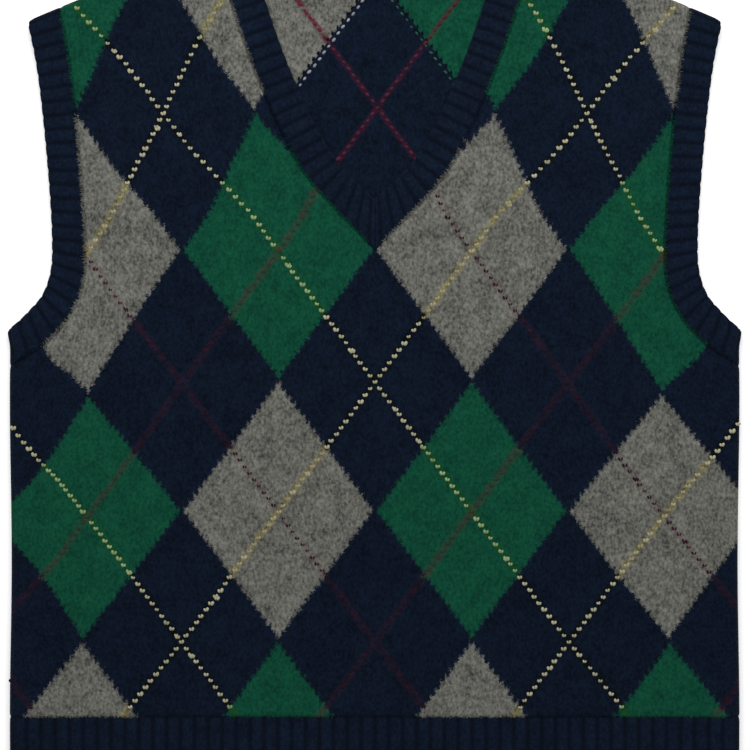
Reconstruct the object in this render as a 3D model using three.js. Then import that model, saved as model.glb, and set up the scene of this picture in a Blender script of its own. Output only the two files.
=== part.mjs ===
// A knitted V-neck sweater vest, laid flat on its back with the front on top.
// Millimetres. +Z is up from the surface it lies on, +Y runs from the hem to the shoulders, +X is the wearer's left.
// The vest is a tube: a front and a back panel, with a ribbed hem, ribbed armhole bands and a ribbed neck band
// that is mitred at the point of the V. Front pieces lie on back pieces. At the sides and the shoulders the two
// layers roll towards each other and meet at a seam halfway up the fold.
// Every piece is laid out in plan on its outer face: x from the middle, and up from the edge of the hem.
import * as THREE from "three";

// Body
const CHEST_WIDTH = 510; // side fold to side fold
const HEM_RIB = 60; // height of the ribbed hem
const SEAM_UP = 305; // where the seam of the armhole band meets the side fold
const UNDERARM_UP = 330; // where the edge of the armhole band meets the side fold
const CLOTH = 2.8; // thickness of the felted wool, panels and ribs alike
const SEAM_GAP = 0.3; // between two pieces at a seam

// How the two layers lie
const FOLD_HEIGHT = 9; // outside height of the soft side and shoulder folds
const LAYER_GAP = 0.4; // between the back layer and the front layer that lies on it
const SETTLE = 36; // the front layer comes down from the fold over this distance

// The shoulder fold: from the tip it rises to the neck, steepest at the tip
const SHOULDER = { tipX: 243, tipUp: 547, run: 130, rise: 57, ease: 9.7 };

// Armhole band, from the underarm to the shoulder: its free edge, and its seam with the panel
const ARMHOLE = [
  { edgeX: 255.0, edgeUp: UNDERARM_UP, seamX: 255.0, seamUp: SEAM_UP },
  { edgeX: 242.4, edgeUp: 343.7, seamX: 231.7, seamUp: 319.5 },
  { edgeX: 233.0, edgeUp: 355.5, seamX: 214.2, seamUp: 338.8 },
  { edgeX: 227.4, edgeUp: 372.4, seamX: 204.0, seamUp: 362.0 },
  { edgeX: 226.5, edgeUp: 393.4, seamX: 202.3, seamUp: 391.0 },
  { edgeX: 228.2, edgeUp: 427.7, seamX: 204.3, seamUp: 426.5 },
  { edgeX: 232.4, edgeUp: 477.4, seamX: 208.7, seamUp: 480.0 },
  { edgeX: 237.3, edgeUp: 518.0, seamX: 214.0, seamUp: 523.0 },
  { edgeX: SHOULDER.tipX, edgeUp: SHOULDER.tipUp, seamX: 220.0, seamUp: foldUp(220) },
];

// Front neck band, from the point of the V to the shoulder: its free edge, and its seam with the panel
const V_NECK = [
  { edgeX: 0.0, edgeUp: 422.0, seamX: 0.0, seamUp: 386.0 },
  { edgeX: 26.6, edgeUp: 448.7, seamX: 45.6, seamUp: 434.0 },
  { edgeX: 44.1, edgeUp: 478.8, seamX: 65.3, seamUp: 467.6 },
  { edgeX: 55.3, edgeUp: 503.3, seamX: 77.4, seamUp: 493.9 },
  { edgeX: 66.5, edgeUp: 531.3, seamX: 89.0, seamUp: 523.0 },
  { edgeX: 76.7, edgeUp: 561.4, seamX: 99.5, seamUp: 554.0 },
  { edgeX: 89.0, edgeUp: foldUp(89), seamX: 113.0, seamUp: foldUp(113) },
];
const NECK_POINT = V_NECK.at(-1); // where the neck band crosses the shoulder fold

// The back neck dips from there to the middle, level at the middle
const BACK_NECK_MIDDLE = { edgeUp: 596, seamUp: 572 };

// How far up the armhole the rows of a panel reach the point of the V, or the middle of the back neck
const FRONT_SPLIT = 0.5;
const BACK_SPLIT = 0.75;

// Mesh
const FOLD_STEPS = 4; // round the quarter of a fold that belongs to one layer
const BODY_ROWS = 5; // hem to armhole seam
const YOKE_ROWS = 16; // armhole seam to shoulder
const HALF_COLUMNS = 7; // side to middle
const BAND_COLUMNS = 3; // across a ribbed band

const lerp = THREE.MathUtils.lerp;
const evenSteps = (count) => Array.from({ length: count + 1 }, (_, i) => i / count);
const point = (x, up) => new THREE.Vector2(x, up);

// Height of the outside of the shoulder fold, x from the middle.
function foldUp(x) {
  const s = (SHOULDER.tipX - x) / SHOULDER.run;
  return SHOULDER.tipUp + SHOULDER.rise * s - SHOULDER.ease * s * s;
}

// How far a point lies from the nearer of the side fold and the shoulder fold, and the outward way to it.
function toFold({ x, y: up }) {
  const across = Math.abs(x);
  const foldX = THREE.MathUtils.clamp(across, NECK_POINT.edgeX, SHOULDER.tipX);
  const steepness = SHOULDER.rise - (2 * SHOULDER.ease * (SHOULDER.tipX - foldX)) / SHOULDER.run;
  const square = point(steepness, SHOULDER.run).normalize();
  const toShoulder = square.clone().multiplyScalar((foldUp(foldX) - up) * square.y);
  toShoulder.x += foldX - across;
  const toSide = point(CHEST_WIDTH / 2 - across, Math.min(0, UNDERARM_UP - up));
  const sideIsNearer = toSide.length() < toShoulder.length();
  const way = sideIsNearer ? toSide : toShoulder;
  const distance = way.length();
  if (distance < 1e-3) way.copy(sideIsNearer ? point(1, 0) : square);
  way.normalize();
  return { distance, way: point(Math.sign(x || 1) * way.x, way.y) };
}

// The outer face of each layer: its height and its outward normal. Near a fold it is a quarter round.
const foldRadius = (FOLD_HEIGHT - SEAM_GAP) / 2;

function quarterRound(distance, way, upright) {
  const cos = 1 - distance / foldRadius;
  const sin = Math.sqrt(1 - cos * cos);
  return { sin, normal: new THREE.Vector3(way.x * cos, way.y * cos, upright * sin) };
}

const front = {
  upright: 1,
  at(plan) {
    const { distance, way } = toFold(plan);
    if (distance < foldRadius) {
      const { sin, normal } = quarterRound(distance, way, 1);
      return { z: FOLD_HEIGHT - foldRadius * (1 - sin), normal };
    }
    const s = Math.min(1, (distance - foldRadius) / SETTLE);
    const drop = FOLD_HEIGHT - (2 * CLOTH + LAYER_GAP);
    const fall = (drop * 6 * s * (1 - s)) / SETTLE;
    const normal = new THREE.Vector3(way.x * fall, way.y * fall, 1).normalize();
    return { z: FOLD_HEIGHT - drop * s * s * (3 - 2 * s), normal: normal.multiply(new THREE.Vector3(-1, -1, 1)) };
  },
};

const back = {
  upright: -1,
  at(plan) {
    const { distance, way } = toFold(plan);
    if (distance >= foldRadius) return { z: 0, normal: new THREE.Vector3(0, 0, -1) };
    const { sin, normal } = quarterRound(distance, way, -1);
    return { z: foldRadius * (1 - sin), normal };
  },
};

// A closed wall of cloth over grids of plan points, which share the points where they touch. It has an outer
// face, an inner face one thickness in along the normal, and a strip along each edge that has cloth on one side only.
function clothWall(grids, layer) {
  const plan = [];
  const indexOf = new Map();
  const vertex = (p) => {
    const key = p.x.toFixed(3) + " " + p.y.toFixed(3);
    if (!indexOf.has(key)) indexOf.set(key, plan.push(p) - 1);
    return indexOf.get(key);
  };
  const cells = [];
  for (const grid of grids) {
    const rows = grid.map((row) => row.map(vertex));
    for (let i = 1; i < rows.length; i++) {
      for (let j = 1; j < rows[i].length; j++) {
        const cell = [rows[i - 1][j - 1], rows[i - 1][j], rows[i][j], rows[i][j - 1]];
        const turn = THREE.ShapeUtils.area(cell.map((n) => plan[n])) * layer.upright;
        cells.push(turn > 0 ? cell : cell.reverse());
      }
    }
  }
  const faces = plan.map((p) => ({ p, ...layer.at(p) }));
  const outer = faces.map(({ p, z }) => new THREE.Vector3(p.x, p.y, z));
  const inner = faces.map(({ normal }, n) => outer[n].clone().addScaledVector(normal, -CLOTH));
  const under = plan.length;
  const index = [];
  const edges = new Set();
  for (const cell of cells) {
    const [a, b, c, d] = cell;
    index.push(a, b, c, a, c, d);
    index.push(under + c, under + b, under + a, under + d, under + c, under + a);
    cell.forEach((from, k) => edges.add(from + " " + cell[(k + 1) % cell.length]));
  }
  for (const edge of edges) {
    const [a, b] = edge.split(" ").map(Number);
    if (edges.has(b + " " + a)) continue;
    // two pieces at a seam split their strips along the same diagonal, from the lower inner corner
    if (plan[a].y < plan[b].y) index.push(under + a, under + b, b, under + a, b, a);
    else index.push(under + a, under + b, a, under + b, b, a);
  }
  const geometry = new THREE.BufferGeometry().setFromPoints([...outer, ...inner]);
  geometry.setIndex(index);
  geometry.computeVertexNormals();
  return geometry;
}

const mirrored = (grid) => grid.map((row) => row.map((p) => point(-p.x, p.y)));
const bothSides = (grid) => [grid, mirrored(grid)];

// Steps from 0 to 1 along a length that starts at a fold, closer together round the fold.
const foldSteps = (length) =>
  evenSteps(FOLD_STEPS).map((s) => (foldRadius * (1 - Math.cos((s * Math.PI) / 2))) / length);
const fromSide = foldSteps(CHEST_WIDTH / 2);
const acrossPanel = [...fromSide, ...evenSteps(HALF_COLUMNS).slice(1).map((s) => lerp(fromSide.at(-1), 1, s))];

// Steps up the armhole, closer together at the folds at both of its ends.
const yokeFold = foldSteps(SHOULDER.tipUp - SEAM_UP);
const upArmhole = [...yokeFold, ...evenSteps(YOKE_ROWS).slice(1, -1), ...yokeFold.map((s) => 1 - s).reverse()];

const splineOf = (table, x, up) => new THREE.SplineCurve(table.map((row) => point(row[x], row[up])));
const armholeEdge = splineOf(ARMHOLE, "edgeX", "edgeUp");
const armholeSeam = splineOf(ARMHOLE, "seamX", "seamUp");
const vEdge = splineOf(V_NECK, "edgeX", "edgeUp");
const vSeam = splineOf(V_NECK, "seamX", "seamUp");

// The back neck from the middle to the shoulder fold: it rises with the cube of the share of the way out.
const backDip = (x, up, middleUp) => ({ getPoint: (share) => point(x * share, lerp(middleUp, up, share ** 3)) });
const backEdge = backDip(NECK_POINT.edgeX, NECK_POINT.edgeUp, BACK_NECK_MIDDLE.edgeUp);
const backSeam = backDip(NECK_POINT.seamX, NECK_POINT.seamUp, BACK_NECK_MIDDLE.seamUp);

// Half a panel: level rows up the body, then rows from the armhole seam to the middle or the neck seam. The last
// rows bend to the curve of the shoulder fold.
function halfPanel(neckSeam, split) {
  const body = evenSteps(BODY_ROWS)
    .slice(0, -1)
    .map((s) => lerp(HEM_RIB + SEAM_GAP, SEAM_UP, s))
    .map((up) => acrossPanel.map((u) => point(lerp(CHEST_WIDTH / 2, 0, u), up)));
  const neckStart = neckSeam.getPoint(0);
  const foldEnds = [armholeSeam.getPoint(1), neckSeam.getPoint(1)];
  const yoke = upArmhole.map((t) => {
    const outer = armholeSeam.getPoint(t);
    const inner =
      t > split ? neckSeam.getPoint((t - split) / (1 - split)) : point(0, lerp(SEAM_UP, neckStart.y, t / split));
    return acrossPanel.map((u) => {
      const chord = foldEnds[0].clone().lerp(foldEnds[1], u);
      const bow = (foldUp(chord.x) - chord.y) * t ** 4;
      return outer.clone().lerp(inner, u).add(point(0, bow));
    });
  });
  return [...body, ...yoke];
}

// A band along a seam: each section runs from just clear of the panel to the free edge.
function band(seam, edge, steps) {
  return steps.map((t) => {
    const start = seam.getPoint(t);
    const end = edge.getPoint(t);
    const along = seam.getPoint(Math.min(1, t + 1e-3)).sub(seam.getPoint(Math.max(0, t - 1e-3))).normalize();
    const section = end.clone().sub(start).normalize();
    start.addScaledVector(section, SEAM_GAP / Math.abs(section.cross(along)));
    return evenSteps(BAND_COLUMNS).map((u) => start.clone().lerp(end, u));
  });
}

const neckSteps = (split) => upArmhole.filter((t) => t >= split).map((t) => (t - split) / (1 - split));

// The front neck band is two pieces that meet in a mitre at the point of the V.
function neckBandHalf() {
  const rows = band(vSeam, vEdge, neckSteps(FRONT_SPLIT));
  rows[0].forEach((p) => p.setX(SEAM_GAP / 2));
  return rows;
}

function hemRib() {
  const rows = evenSteps(BAND_COLUMNS).map((s) =>
    acrossPanel.map((u) => point(lerp(CHEST_WIDTH / 2, 0, u), HEM_RIB * s)),
  );
  return bothSides(rows);
}

const armholeBand = band(armholeSeam, armholeEdge, upArmhole);
const backNeckBand = band(backSeam, backEdge, neckSteps(BACK_SPLIT));

const vest = new THREE.Group();

function addPiece(name, grids, layer, color) {
  const material = new THREE.MeshStandardMaterial({ color, roughness: 0.95, metalness: 0 });
  const mesh = new THREE.Mesh(clothWall(grids, layer), material);
  mesh.name = name;
  mesh.position.y = -NECK_POINT.edgeUp / 2;
  vest.add(mesh);
}

const ARGYLE_WOOL = "#1a2b31"; // the middle of the navy, bottle green and grey of the panels
const RIB_WOOL = "#131927"; // the navy of the ribs

addPiece("back_panel", bothSides(halfPanel(backSeam, BACK_SPLIT)), back, ARGYLE_WOOL);
addPiece("front_panel", bothSides(halfPanel(vSeam, FRONT_SPLIT)), front, ARGYLE_WOOL);
addPiece("hem_rib_back", hemRib(), back, RIB_WOOL);
addPiece("hem_rib_front", hemRib(), front, RIB_WOOL);
addPiece("neck_band_back", bothSides(backNeckBand), back, RIB_WOOL);
const sides = { left: (grid) => grid, right: mirrored };
for (const [side, turned] of Object.entries(sides)) {
  addPiece(`neck_band_front_${side}`, [turned(neckBandHalf())], front, RIB_WOOL);
  addPiece(`armhole_band_${side}_front`, [turned(armholeBand)], front, RIB_WOOL);
  addPiece(`armhole_band_${side}_back`, [turned(armholeBand)], back, RIB_WOOL);
}

export default vest;
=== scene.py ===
"""A knitted argyle sweater vest, laid flat on its back with its front up.

The sections follow the making: the two panels, the raker lines darned over them, the ribbed hems, the neck
band and the armhole bands. Lengths are metres, written in millimetres times MM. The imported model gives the
outside sizes; every piece is laid out in plan on the outer face of its layer, and the layer gives the height.
"""

import bmesh
import bpy
import numpy as np
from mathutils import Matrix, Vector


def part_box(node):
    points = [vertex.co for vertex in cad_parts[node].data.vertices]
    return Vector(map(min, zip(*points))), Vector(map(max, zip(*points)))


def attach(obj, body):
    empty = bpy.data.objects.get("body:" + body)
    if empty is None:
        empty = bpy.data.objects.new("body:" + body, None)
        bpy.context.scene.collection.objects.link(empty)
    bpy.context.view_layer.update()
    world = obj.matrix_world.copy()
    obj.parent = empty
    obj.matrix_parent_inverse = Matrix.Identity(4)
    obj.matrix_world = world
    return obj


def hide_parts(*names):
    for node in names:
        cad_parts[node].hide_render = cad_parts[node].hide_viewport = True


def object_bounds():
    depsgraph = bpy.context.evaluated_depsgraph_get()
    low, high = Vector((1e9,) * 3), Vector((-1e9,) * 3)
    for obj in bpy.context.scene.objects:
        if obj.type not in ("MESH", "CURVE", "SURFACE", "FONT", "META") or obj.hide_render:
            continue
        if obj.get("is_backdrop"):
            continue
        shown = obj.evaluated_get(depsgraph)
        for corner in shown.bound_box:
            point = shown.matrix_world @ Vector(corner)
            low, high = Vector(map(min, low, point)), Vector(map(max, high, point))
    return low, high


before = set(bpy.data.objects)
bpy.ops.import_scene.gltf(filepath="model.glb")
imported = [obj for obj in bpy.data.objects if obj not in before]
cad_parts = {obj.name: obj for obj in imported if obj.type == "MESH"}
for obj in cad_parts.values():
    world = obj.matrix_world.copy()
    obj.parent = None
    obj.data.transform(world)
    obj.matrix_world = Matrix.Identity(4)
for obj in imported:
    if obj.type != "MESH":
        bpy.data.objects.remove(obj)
cad_low, cad_high = (np.array(corner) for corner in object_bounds())

# ----------------------------------------------------------------------------------------------------------
# Back panel. One piece of stocking stitch in brushed lambswool, with a shallow back neck, cut in at the
# armholes and sloped at the shoulders. It lies on its outer face, and at the sides and the shoulders it
# rolls up to the seams, halfway up the fold.

MM = 0.001
HALF_CHEST = cad_high[0]
HEM_Y = cad_low[1]
FOLD_HEIGHT = cad_high[2]
RIB_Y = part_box("hem_rib_back")[1].y  # top of the ribbed hem
SEAM_Y = HEM_Y + 305 * MM
UNDERARM_Y = HEM_Y + 330 * MM
CLOTH = 2.8 * MM
SEAM_GAP = 0.3 * MM
FOLD_RADIUS = (FOLD_HEIGHT - SEAM_GAP) / 2
SHOULDER = {"tip_x": 243 * MM, "tip_y": HEM_Y + 547 * MM, "run": 130 * MM, "rise": 57 * MM, "ease": 9.7 * MM}
NECK_X = 89 * MM  # where the edge of the neck band crosses the shoulder fold


def fold_y(x):
    """The shoulder fold: with s the way in from the tip over the run, y = tip + rise s - ease s^2."""
    s = (SHOULDER["tip_x"] - x) / SHOULDER["run"]
    return SHOULDER["tip_y"] + SHOULDER["rise"] * s - SHOULDER["ease"] * s**2


BAND_LINES = [("edge_x", float), ("edge_up", float), ("seam_x", float), ("seam_up", float)]

# From the underarm to the shoulder: free edge of the armhole band, and its seam; mm from the middle and the
# hem
ARMHOLE = np.array(
    [
        (255.0, 330.0, 255.0, 305.0),
        (242.4, 343.7, 231.7, 319.5),
        (233.0, 355.5, 214.2, 338.8),
        (227.4, 372.4, 204.0, 362.0),
        (226.5, 393.4, 202.3, 391.0),
        (228.2, 427.7, 204.3, 426.5),
        (232.4, 477.4, 208.7, 480.0),
        (237.3, 518.0, 214.0, 523.0),
        (243.0, 547.0, 220.0, (fold_y(220 * MM) - HEM_Y) / MM),
    ],
    dtype=BAND_LINES,
)


def spline(table, line):
    """The curve through one line of a table, t from 0 to 1. Between b and c, with a before, d after and w
    the way across: half of 2b + (c - a) w + (2a - 5b + 4c - d) w^2 + (3b - a - 3c + d) w^3. The end points
    count twice."""
    knots = np.stack([table[line + "_x"] * MM, HEM_Y + table[line + "_up"] * MM], axis=-1)
    doubled = np.vstack([knots[:1], knots, knots[-1:]])

    def curve(t):
        place = np.clip(t, 0, 1) * (len(knots) - 1)
        i = np.minimum(place.astype(int), len(knots) - 2)
        w = (place - i)[:, None]
        a, b, c, d = (doubled[i + k] for k in range(4))
        return (2 * b + (c - a) * w + (2 * a - 5 * b + 4 * c - d) * w**2 + (3 * b - a - 3 * c + d) * w**3) / 2

    return curve


def back_neck(end_x, middle_up):
    """A dip from the shoulder fold to the middle: x grows with t, and y rises with the cube of t."""
    middle_y = HEM_Y + middle_up * MM
    return lambda t: np.stack([end_x * t, middle_y + (fold_y(end_x) - middle_y) * t**3], axis=-1)


armhole_seam, armhole_edge = spline(ARMHOLE, "seam"), spline(ARMHOLE, "edge")
back_neck_seam, back_neck_edge = back_neck(113 * MM, 572), back_neck(NECK_X, 596)


def unit(v):
    return v / np.maximum(np.linalg.norm(v, axis=-1, keepdims=True), 1e-12)


def to_fold(plan):
    """Distance of plan points from the nearer of the side fold and the shoulder fold, and the outward way
    to it. The side fold ends at the underarm, and the shoulder fold runs from its tip to the neck."""
    across, y = np.abs(plan[..., 0]), plan[..., 1]
    fold_x = np.clip(across, NECK_X, SHOULDER["tip_x"])
    steepness = SHOULDER["rise"] - 2 * SHOULDER["ease"] * (SHOULDER["tip_x"] - fold_x) / SHOULDER["run"]
    square = unit(np.stack([steepness, np.full_like(steepness, SHOULDER["run"])], axis=-1))
    to_shoulder = square * ((fold_y(fold_x) - y) * square[..., 1])[..., None]
    to_shoulder[..., 0] += fold_x - across
    to_side = np.stack([HALF_CHEST - across, np.minimum(0, UNDERARM_Y - y)], axis=-1)
    far_side, far_shoulder = (np.linalg.norm(way, axis=-1) for way in (to_side, to_shoulder))
    near_side = far_side < far_shoulder
    distance = np.where(near_side, far_side, far_shoulder)
    way = np.where(near_side[..., None], to_side, to_shoulder)
    still = np.where(near_side[..., None], np.array([1.0, 0.0]), square)
    way = np.where(distance[..., None] > 1e-6, unit(way), still)
    way[..., 0] *= np.where(plan[..., 0] < 0, -1, 1)
    return distance, way


def quarter_round(distance, way, upright):
    """The sine of the angle up a fold and the outward normal there. The cosine is 1 less distance over
    radius."""
    cos = np.clip(1 - distance / FOLD_RADIUS, 0, 1)
    sin = np.sqrt(1 - cos**2)
    return sin, np.concatenate([way * cos[..., None], upright * sin[..., None]], axis=-1)


def back_layer(plan):
    """Points and normals of the outer face of the back: on the surface, and round at a fold."""
    distance, way = to_fold(plan)
    sin, normal = quarter_round(distance, way, -1)
    return np.concatenate([plan, FOLD_RADIUS * (1 - sin)[..., None]], axis=-1), normal


def grid_quads(rows, columns):
    """Corner numbers of the quads of a grid that is numbered row by row."""
    corner = np.arange(rows * columns).reshape(rows, columns)
    quads = [corner[:-1, :-1], corner[:-1, 1:], corner[1:, 1:], corner[1:, :-1]]
    return np.stack(quads, axis=-1).reshape(-1, 4)


def relaxed(points):
    """Points moved as soft cloth gives at its outline: at the sides from 1.0 mm in to 0.8 mm out in a long
    wave, a further 1.9 mm out at the tip of each underarm, and 0.8 mm in and down at the tip of each
    shoulder, each tip in a bell."""
    points = np.array(points)
    side, across, up = np.sign(points[:, 0]), np.abs(points[:, 0]), (points[:, 1] - HEM_Y) / MM
    near = np.clip((across / HALF_CHEST - 0.8) / 0.2, 0, 1) ** 2
    wave = 0.1 + 0.25 * side + 0.65 * np.cos((up - 170) / 36) - 1.9 * np.exp(-(((up - 329) / 7) ** 2))
    tip = np.exp(-((across / MM - 243) ** 2 + (up - 547) ** 2) / 3.2**2)
    points[:, 0] -= side * (near * wave + 0.6 * tip) * MM
    points[:, 1] -= 0.5 * tip * MM
    return points


def add_piece(name, points, faces, uv, materials, face_material=None):
    """A smooth closed mesh with one UV pair a point, its faces turned outwards, riding on the one body."""
    mesh = bpy.data.meshes.new(name)
    mesh.from_pydata(relaxed(points), [], [list(face) for face in faces])
    corners = np.empty(len(mesh.loops), dtype=np.int32)
    mesh.loops.foreach_get("vertex_index", corners)
    mesh.uv_layers.new(name="knit").data.foreach_set("uv", uv[corners].astype(np.float32).ravel())
    if face_material is not None:
        mesh.polygons.foreach_set("material_index", face_material.astype(np.int32))
    shell = bmesh.new()
    shell.from_mesh(mesh)
    bmesh.ops.recalc_face_normals(shell, faces=shell.faces)
    shell.to_mesh(mesh)
    shell.free()
    mesh.shade_smooth()
    mesh.set_sharp_from_angle(angle=np.radians(75))
    for material in materials:
        mesh.materials.append(material)
    piece = bpy.data.objects.new(name, mesh)
    bpy.context.scene.collection.objects.link(piece)
    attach(piece, "root")
    return piece


FOLD_STEPS = FOLD_RADIUS * (1 - np.cos(np.linspace(0, np.pi / 2, 6)))  # even angles round a fold
SEAM_STEPS = np.array([0, 0.6, 1.3, 2.2, 3.4]) * MM  # close steps, where the cloth dips at a seam


def steps(length, spacing, start=SEAM_STEPS, end=SEAM_STEPS):
    """Shares of a length: close steps at both ends, and even ones between."""
    low, high = start[-1] / length, 1 - end[-1] / length
    middle = np.linspace(low, high, int(np.ceil((high - low) * length / spacing)) + 1)[1:-1]
    return np.concatenate([start / length, middle, 1 - end[::-1] / length])


def half_panel(neck_seam, split, spacing=4.2 * MM):
    """Plan points of half a panel, from the side to the middle. Level rows run up the body; then a row at t
    joins the armhole seam at t to the middle, or past the split to the neck seam. The last ones bend to the
    fold."""
    across = steps(HALF_CHEST, spacing, start=FOLD_STEPS)
    body_y = RIB_Y + SEAM_GAP + steps(SEAM_Y - RIB_Y, spacing)[:-1] * (SEAM_Y - RIB_Y - SEAM_GAP)
    body = np.stack(np.meshgrid(HALF_CHEST * (1 - across), body_y), axis=-1)
    arm_rows = steps(SHOULDER["tip_y"] - SEAM_Y, 3 * MM, start=FOLD_STEPS, end=FOLD_STEPS)
    t = np.unique(np.append(arm_rows, split))
    outer, past = armhole_seam(t), (t > split)[:, None]
    neck_start = neck_seam(np.array([0.0]))[0]
    middle = np.stack([0 * t, SEAM_Y + (neck_start[1] - SEAM_Y) * t / split], axis=-1)
    inner = np.where(past, neck_seam(np.maximum(t - split, 0) / (1 - split)), middle)
    chord = outer[-1] + (inner[-1] - outer[-1]) * across[:, None]
    yoke = outer[:, None] + (inner - outer)[:, None] * across[None, :, None]
    yoke[..., 1] += t[:, None] ** 4 * (fold_y(chord[:, 0]) - chord[:, 1])
    return np.concatenate([body, yoke])


def sampled(curve, count=400):
    return curve(np.linspace(0, 1, count))


def seam_dip(distance):
    """How far cloth dips beside a linked seam: 0.5 mm exp(-(distance / 1.4 mm)^2)."""
    return 0.5 * MM * np.exp(-((distance / (1.4 * MM)) ** 2))


def ditch(plan, neck_seam):
    """How far a panel dips at its linked seams, by the distance from the nearest one."""
    seams = np.concatenate([sampled(armhole_seam), sampled(neck_seam)])
    across = np.stack([np.abs(plan[:, 0]), plan[:, 1]], axis=-1)
    nearest = np.concatenate([
        np.linalg.norm(chunk[:, None] - seams, axis=-1).min(axis=1) for chunk in np.array_split(across, 40)
    ])
    return seam_dip(np.minimum(nearest, np.abs(plan[:, 1] - RIB_Y)))


QUARTER_WALES, QUARTER_COURSES = 20, 40  # stitches in a quarter of the argyle repeat
WALE = 67.65 * MM / QUARTER_WALES
COURSE = 90.9 * MM / QUARTER_COURSES
LATTICE_Y = HEM_Y + 385 * MM  # a row of coloured diamonds
LEG_RISE = 1.8  # courses that a leg of a stitch rises in a wale


def to_knit(plan):
    """The place in the knitting: wales from the middle, and courses from a row of coloured diamonds."""
    return np.stack([plan[..., 0] / WALE, (plan[..., 1] - LATTICE_Y) / COURSE], axis=-1)


def panel(name, layer, neck_seam, split, knit, materials):
    """A closed wall over both halves, welded along the middle: the outer face, the inner face one thickness
    in along the normal, and a rim along each edge of a single quad."""
    half = half_panel(neck_seam, split)
    quads = grid_quads(*half.shape[:2])
    plan = np.concatenate([half.reshape(-1, 2), half.reshape(-1, 2) * (-1, 1)])
    quads = np.concatenate([quads, quads[:, ::-1] + half.shape[0] * half.shape[1]])
    _, first, welded = np.unique(np.round(plan / 1e-6), axis=0, return_index=True, return_inverse=True)
    plan, quads = plan[first], welded.ravel()[quads]
    outer, normal = layer(plan)
    dip = ditch(plan, neck_seam)[:, None]
    points = np.concatenate([outer - normal * dip, outer - normal * (CLOTH - dip / 3)])
    count = len(plan)
    edges = np.stack([quads, np.roll(quads, -1, axis=1)], axis=-1).reshape(-1, 2)
    single = ~np.isin(edges @ (count, 1), edges @ (1, count))
    a, b = edges[single].T
    rim = np.stack([b, a, a + count, b + count], axis=-1)
    faces = np.concatenate([quads, quads[:, ::-1] + count, rim])
    side = np.repeat([0, 1, 0], [len(quads), len(quads), len(rim)])
    uv = knit(plan)
    piece = add_piece(f"{name}_cloth", points, faces, np.concatenate([uv, uv]), materials, side)
    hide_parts(name)
    a, b, c, d = (outer[quads[:, k]] for k in range(4))
    flat = (2 * HALF_CHEST + 5 * MM, np.ptp(plan[:, 1]))


def srgb(code):
    """The linear colour of an sRGB hex code such as "1a2b3c"."""
    value = np.array([int(code[i : i + 2], 16) for i in (0, 2, 4)]) / 255
    return (*np.where(value <= 0.04045, value / 12.92, ((value + 0.055) / 1.055) ** 2.4), 1.0)


def add(tree, kind, inputs, out=0, **settings):
    """Adds a node, sets its properties and fills its inputs, by name or number, with a link from a socket
    or with a value. Returns one of its outputs, if it has any."""
    made = tree.nodes.new(kind)
    for name, value in settings.items():
        setattr(made, name, value)
    for key, value in inputs.items() if isinstance(inputs, dict) else enumerate(inputs):
        if isinstance(value, bpy.types.NodeSocket):
            tree.links.new(value, made.inputs[key])
        else:
            made.inputs[key].default_value = value
    return made.outputs[out] if made.outputs else None


def new_material(name):
    material = bpy.data.materials.new(name)
    material.use_nodes = True
    material.node_tree.nodes.clear()
    return material, material.node_tree


def wool_finish(tree, color, height, depth):
    """Brushed lambswool has no gloss, and its nap catches a little light at a grazing angle."""
    relief = {"Strength": 1.0, "Distance": depth, "Height": height}
    relief = add(tree, "ShaderNodeBump", relief, out="Normal")
    shader = add(tree, "ShaderNodeBsdfPrincipled", {
        "Base Color": color, "Roughness": 0.95, "Specular IOR Level": 0.05,
        "Sheen Weight": 0.03, "Sheen Roughness": 0.5, "Normal": relief,
    })
    add(tree, "ShaderNodeOutputMaterial", {"Surface": shader})


def melange(tree, place):
    """Fibres of darker and lighter wool carded together: fine upright flecks over small clouds, from 0 to
    1."""
    upright = add(tree, "ShaderNodeVectorMath", [place, (1.0, 0.7, 1.0)], operation="MULTIPLY")
    flecks = {"Vector": upright, "Scale": 560.0, "Detail": 2.0, "Roughness": 0.6}
    flecks = add(tree, "ShaderNodeTexNoise", flecks)
    clouds = {"Vector": place, "Scale": 90.0, "Detail": 2.0, "Roughness": 0.6}
    clouds = add(tree, "ShaderNodeTexNoise", clouds)
    both = add(tree, "ShaderNodeMath", [clouds, 0.45, flecks], operation="MULTIPLY_ADD")
    return add(tree, "ShaderNodeMapRange", [both, 0.47, 0.98, 0.0, 1.0])


def stitch_height(tree, u, v):
    """Stocking stitch from wales u and courses v: each stitch is a V whose legs rise to both sides, a round
    ridge in each half wale, cut across once a course."""
    wale = add(tree, "ShaderNodeMath", [u], operation="FRACT")
    leg = add(tree, "ShaderNodeMath", [wale, 0.5], operation="SUBTRACT")
    leg = add(tree, "ShaderNodeMath", [leg], operation="ABSOLUTE")
    ridge = add(tree, "ShaderNodeMath", [leg, 2.0], operation="MULTIPLY")
    ridge = add(tree, "ShaderNodeMath", [ridge, 0.5], operation="PINGPONG")
    rung = add(tree, "ShaderNodeMath", [leg, -LEG_RISE, v], operation="MULTIPLY_ADD")
    rung = add(tree, "ShaderNodeMath", [rung, 0.5], operation="PINGPONG")
    product = add(tree, "ShaderNodeMath", [ridge, rung], operation="MULTIPLY")
    return add(tree, "ShaderNodeMath", [product, 0.5], operation="POWER")


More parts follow.
